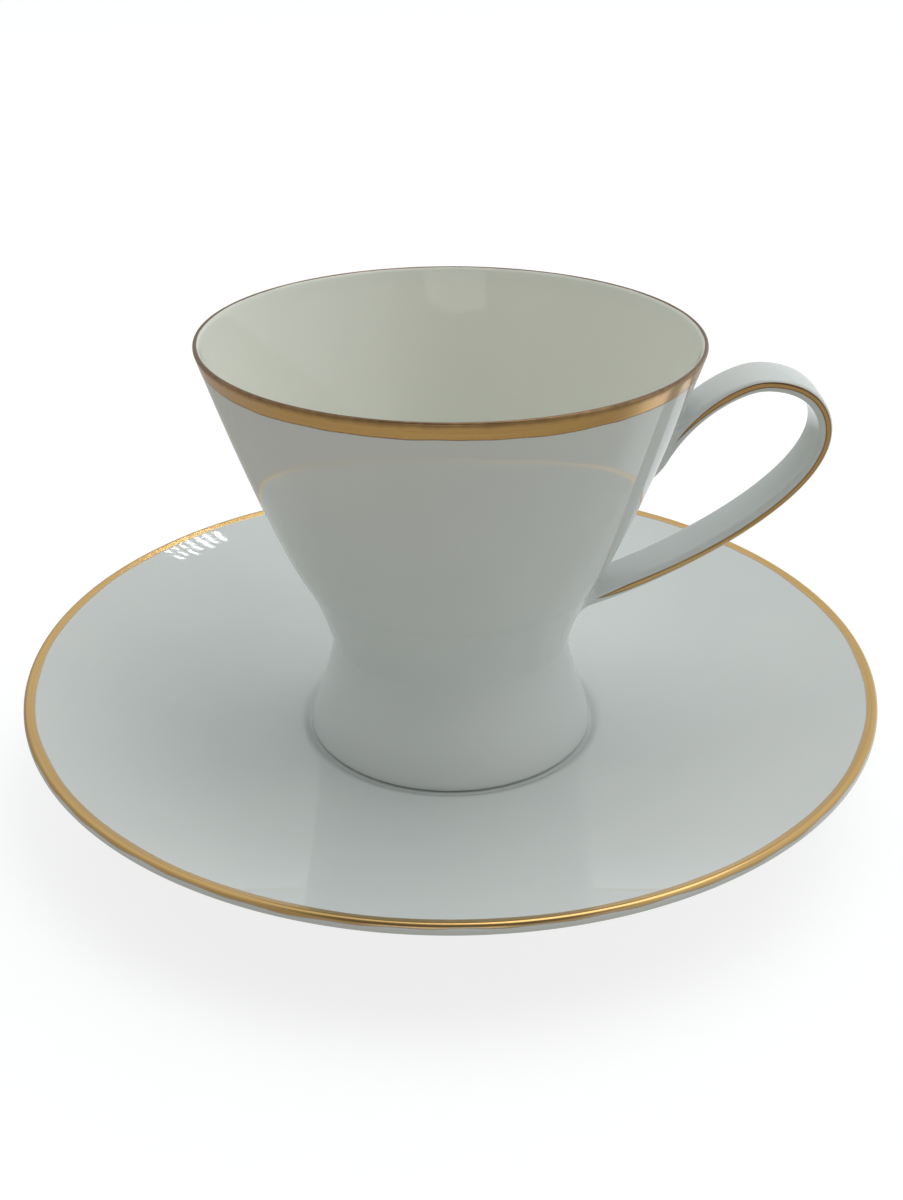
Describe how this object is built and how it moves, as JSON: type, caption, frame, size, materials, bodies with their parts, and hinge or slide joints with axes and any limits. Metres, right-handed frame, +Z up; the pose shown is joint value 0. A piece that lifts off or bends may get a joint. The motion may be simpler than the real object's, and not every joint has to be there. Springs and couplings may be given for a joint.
{
  "type": "teacup and saucer",
  "caption": "Flared porcelain teacup with a waisted pedestal foot and a thin strap handle, standing in the well of its wide saucer, with gold lines on every edge.",
  "frame": {"origin": "on the table under the middle of the saucer's foot ring, which is also the cup's axis", "axes": "+Z up along the axis that the cup and the saucer are turned about, +X towards the cup's handle"},
  "size_m": [0.15, 0.15, 0.0785],
  "materials": {
    "porcelain": "clear glossy glaze over cool white porcelain",
    "gold": "burnished gold line, brushed by hand"
  },
  "bodies": {
    "saucer": {"saucer_plate": "porcelain", "saucer_rim_gilding": "gold"},
    "cup": {"cup_bowl": "porcelain", "cup_foot": "porcelain", "cup_handle": "porcelain", "cup_rim_gilding": "gold", "handle_gilding_front": "gold", "handle_gilding_back": "gold"}
  },
  "joints": [
    {"name": "cup_lift", "type": "slide", "parent": "saucer", "child": "cup", "axis": [0, 0, 1], "range_m": [0, 0.06]}
  ]
}
